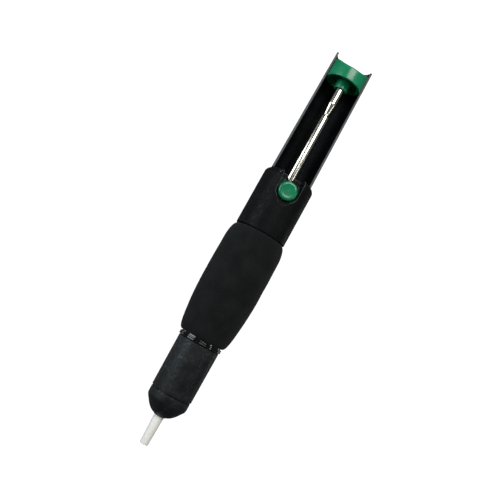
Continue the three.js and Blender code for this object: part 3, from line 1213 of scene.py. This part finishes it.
# How far up a spring its wire has climbed, from 0 to 1. The first and the last turn lie nearly flat.
def coilRise(t, length, wire, turns):
    endTurn = 1 / turns
    endRise = endPitch * wire / (length - wire)
    if t < endTurn:
        return endRise * t / endTurn
    if t > 1 - endTurn:
        return 1 - endRise * (1 - t) / endTurn
    return endRise + (1 - 2 * endRise) * (t - endTurn) / (1 - 2 * endTurn)


# A spring's round wire along a helix. place(along, across, up) puts a point of the coil into the pump.
def coilMesh(spring, length, radius, place):
    wire, turns, sides = spring["wire"], spring["turns"], spring["sides"]
    steps = turns * spring["stepsPerTurn"]
    vertices, faces = [], []
    for i in range(steps + 1):
        t = i / steps
        angle = fullTurn * turns * t
        along = wire / 2 + (length - wire) * coilRise(t, length, wire, turns)
        for c, s in circlePoints(sides):
            reach = radius + wire / 2 * c
            vertices.append(place(along + wire / 2 * s, reach * math.cos(angle), reach * math.sin(angle)))
    for i in range(steps):
        for j in range(sides):
            k = (j + 1) % sides
            faces.append((i * sides + j, i * sides + k, (i + 1) * sides + k, (i + 1) * sides + j))
    faces.append(tuple(range(sides)))
    faces.append(tuple(range(steps * sides, (steps + 1) * sides)))
    mesh = bpy.data.meshes.new("coil")
    mesh.from_pydata(vertices, [], faces)
    return mesh


def frameJoint(name):
    return next(joint for joint in frame["joints"] if joint["name"] == name)


def makeMainSpring():
    front, back = span("main_spring")
    radius = halfWidth("main_spring") - mainSpring["wire"] / 2
    place = lambda along, across, up: at(front + along, up, across)
    mesh = coilMesh(mainSpring, back - front, radius, place)
    piece = pieceFrom("mainSpring", mesh, ["main_spring"], "front_end", sharpAngle=60)
    travel = -frameJoint("plunger_slide")["range_m"][0] / mm
    foot = tuple(at(front))
    1 - travel / (back - front)
    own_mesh(piece)
    return piece


def makeButtonSpring():
    low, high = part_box("button_spring")
    tall = (high.z - low.z) / mm
    bottom = (low.z - axisHeight) / mm
    station = button["station"]
    radius = halfWidth("button_spring") - buttonSpring["wire"] / 2
    place = lambda along, across, up: at(station + across, up, bottom + along)
    mesh = coilMesh(buttonSpring, tall, radius, place)
    piece = pieceFrom("buttonSpring", mesh, ["button_spring"], "body", sharpAngle=60)
    travel = -frameJoint("button_press")["range_m"][0] / mm
    foot = tuple(at(station, 0, bottom))
    1 - travel / tall
    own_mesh(piece)
    return piece


makeMainSpring()
makeButtonSpring()
print("springs made")


studio = {
    "floorRadius": 1.2,
    "wallRadius": 4.0,
    "floorColour": (0.24, 0.24, 0.24),
    "floorGlow": 0.95,
    "roomLight": 0.13,
    "roomColour": (0.9, 0.96, 1.0),
}

# Each softbox is placed by two angles seen from the pump: how far it stands over to the pump's left (+) or
# right (-), and how far towards the knob's end. Its width goes round the pump and its length along it.
# All of them stand the same number of metres from the same station.
boxesAway = 0.8
boxesStation = 100
softboxes = [
    {"name": "leftBox", "over": 62, "along": 6, "width": 0.54, "length": 0.5, "glow": 4.9,
     "colour": (0.86, 0.95, 1.0)},
    {"name": "leftEdgeBox", "over": 124, "along": -2, "width": 0.22, "length": 0.4, "glow": 1.2,
     "colour": (0.9, 0.96, 1.0)},
    {"name": "knobBox", "over": -8, "along": 32, "width": 0.48, "length": 0.28, "glow": 10,
     "colour": (1.0, 1.0, 0.97)},
    {"name": "rightBox", "over": -54, "along": 5, "width": 0.12, "length": 0.4, "glow": 4.5,
     "colour": (1.0, 1.0, 0.96)},
    {"name": "rightEdgeBox", "over": -122, "along": 5, "width": 0.2, "length": 0.4, "glow": 1.2,
     "colour": (1.0, 1.0, 0.97)},
]


def linkedObject(name, data):
    made = bpy.data.objects.new(name, data)
    bpy.context.scene.collection.objects.link(made)
    return made


# A pale floor that curves up into a wall all round. Only the camera sees it, and it lights nothing.
def makeFloor():
    rings = [(0, 0), (studio["floorRadius"], 0)]
    rise = studio["wallRadius"] - studio["floorRadius"]
    bendSteps = 24
    for i in range(1, bendSteps + 1):
        angle = math.pi / 2 * i / bendSteps
        rings.append((studio["floorRadius"] + rise * math.sin(angle), rise * (1 - math.cos(angle))))
    around = 96
    vertices = [(r * c, r * s, z) for r, z in rings for c, s in circlePoints(around)]
    faces = []
    for i in range(len(rings) - 1):
        for j in range(around):
            k = (j + 1) % around
            faces.append((i * around + j, i * around + k, (i + 1) * around + k, (i + 1) * around + j))
    mesh = bpy.data.meshes.new("floor")
    mesh.from_pydata(vertices, [], faces)
    work = bmesh.new()
    work.from_mesh(mesh)
    bmesh.ops.remove_doubles(work, verts=work.verts, dist=1e-6)
    bmesh.ops.recalc_face_normals(work, faces=work.faces)
    work.to_mesh(mesh)
    work.free()
    mesh.shade_smooth()
    floor = linkedObject("floor", mesh)
    f = Finish("floorPaint")
    mesh.materials.append(f.shade(
        Base_Color=studio["floorColour"],
        Roughness=0.9,
        Specular_IOR_Level=0.0,
        Emission_Color=(1.0, 1.0, 1.0),
        Emission_Strength=studio["floorGlow"],
    ))
    floor.visible_diffuse = False
    floor.visible_glossy = False
    floor.visible_transmission = False
    floor.visible_shadow = False


def makeLights():
    world = bpy.data.worlds.new("studio")
    bpy.context.scene.world = world
    world.use_nodes = True
    background = world.node_tree.nodes["Background"]
    background.inputs["Color"].default_value = (*studio["roomColour"], 1)
    background.inputs["Strength"].default_value = studio["roomLight"]
    for box in softboxes:
        light = bpy.data.lights.new(box["name"], "AREA")
        light.shape = "RECTANGLE"
        light.size = box["length"]
        light.size_y = box["width"]
        light.energy = box["glow"] * math.pi * box["length"] * box["width"]
        light.color = box["colour"]
        lamp = linkedObject(box["name"], light)
        over, along = math.radians(box["over"]), math.radians(box["along"])
        back = Vector((math.sin(along), math.sin(over) * math.cos(along), math.cos(over) * math.cos(along)))
        lengthways = (Vector((1, 0, 0)) - back * back.x).normalized()
        turn = Matrix((lengthways, back.cross(lengthways), back)).transposed().to_4x4()
        lamp.matrix_world = Matrix.Translation(at(boxesStation) + back * boxesAway) @ turn
        lamp.visible_camera = False


# The view: over the pump, turned about its axis, the knob's end tipped away, and the picture leaning.
view = {
    "aimStation": 100.8,
    "aimSide": 0.46,
    "distance": 306,
    "aboutAxis": 8.4,
    "tip": 6.4,
    "lean": 29.05,
    "lens": 46.8,
}


def makeCamera():
    camera = bpy.data.cameras.new("camera")
    camera.lens = view["lens"]
    camera.sensor_width = 36
    camera.clip_start = 0.01
    holder = linkedObject("camera", camera)
    bpy.context.scene.camera = holder
    about, tip, lean = (math.radians(view[name]) for name in ("aboutAxis", "tip", "lean"))
    over = Vector((0, math.sin(about), math.cos(about)))
    along = Vector((1, 0, 0))
    forward = along * math.sin(tip) - over * math.cos(tip)
    upward = along * math.cos(tip) + over * math.sin(tip)
    right = forward.cross(upward)
    pictureUp = upward * math.cos(lean) - right * math.sin(lean)
    pictureRight = upward * math.sin(lean) + right * math.cos(lean)
    turn = Matrix((pictureRight, pictureUp, -forward)).transposed().to_4x4()
    place = at(view["aimStation"]) - right * view["aimSide"] * mm - forward * view["distance"] * mm
    holder.matrix_world = Matrix.Translation(place) @ turn


makeFloor()
makeLights()
makeCamera()
bpy.context.scene.view_settings.view_transform = "Standard"
print("studio made")
